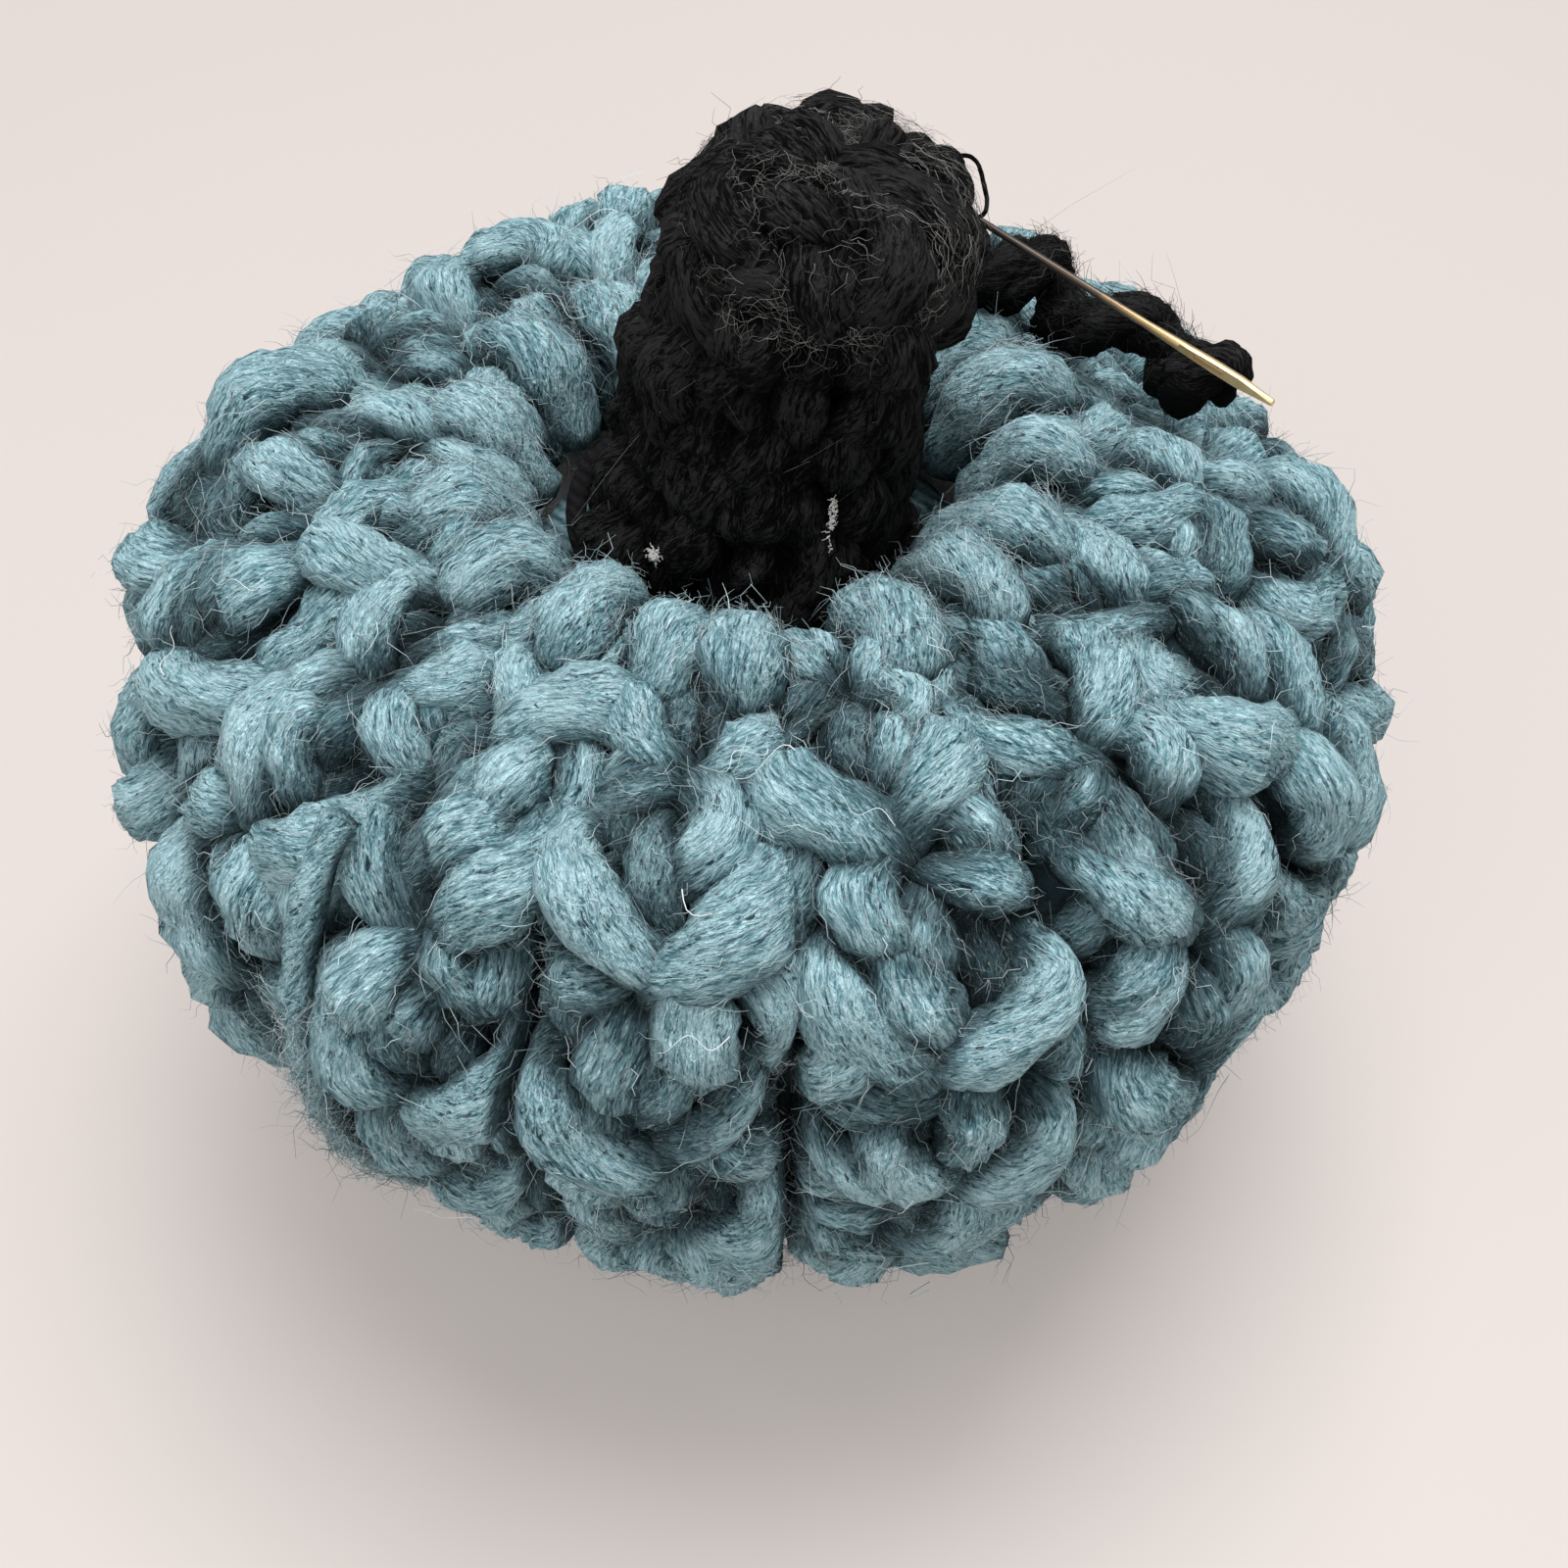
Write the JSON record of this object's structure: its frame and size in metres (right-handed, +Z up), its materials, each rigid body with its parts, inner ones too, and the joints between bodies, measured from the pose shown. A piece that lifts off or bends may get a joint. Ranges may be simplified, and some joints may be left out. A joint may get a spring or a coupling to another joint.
{
  "type": "pin cushion",
  "caption": "Stuffed, ribbed, crocheted ball with a dark crocheted stem and curly tendril, for holding pins and needles.",
  "frame": {"origin": "centre of the flat underside", "axes": "+Z up; -Y is the side with the seam on its left; the stem leans and the needle points towards +X"},
  "size_m": [0.1, 0.1, 0.0941],
  "materials": {
    "teal_yarn": "fuzzy super-bulky yarn",
    "charcoal_yarn": "fuzzy worsted yarn",
    "stuffing": "polyester fibrefill",
    "needle_steel": "polished, gilt at the eye"
  },
  "bodies": {
    "cushion": {"body_cover": "teal_yarn", "body_filling": "stuffing", "side_seam_strand": "teal_yarn", "top_gather_strand": "teal_yarn", "bottom_gather_strand": "teal_yarn", "centre_tie": "teal_yarn"},
    "stem": {"stem_cover": "charcoal_yarn", "stem_filling": "stuffing", "stem_sewing_strand": "charcoal_yarn"},
    "needle": {"needle": "needle_steel"},
    "vine": {"curly_vine": "charcoal_yarn", "vine_tie": "charcoal_yarn"}
  },
  "joints": [
    {"name": "stem_lean", "type": "hinge", "parent": "cushion", "child": "stem", "pos_m": [0, 0, 0.063], "axis": [0, 1, 0], "range_deg": [-16, 10], "stiffness_Nm_per_rad": 0.1},
    {"name": "needle_slide", "type": "slide", "parent": "stem", "child": "needle", "axis": [0.7827, -0.5919, -0.1925], "range_m": [-0.002, 0.016]},
    {"name": "vine_lift", "type": "hinge", "parent": "cushion", "child": "vine", "pos_m": [0.0105, 0.0145, 0.0744], "axis": [-0.6, -0.8, 0], "range_deg": [0, 55], "stiffness_Nm_per_rad": 0.0005}
  ]
}
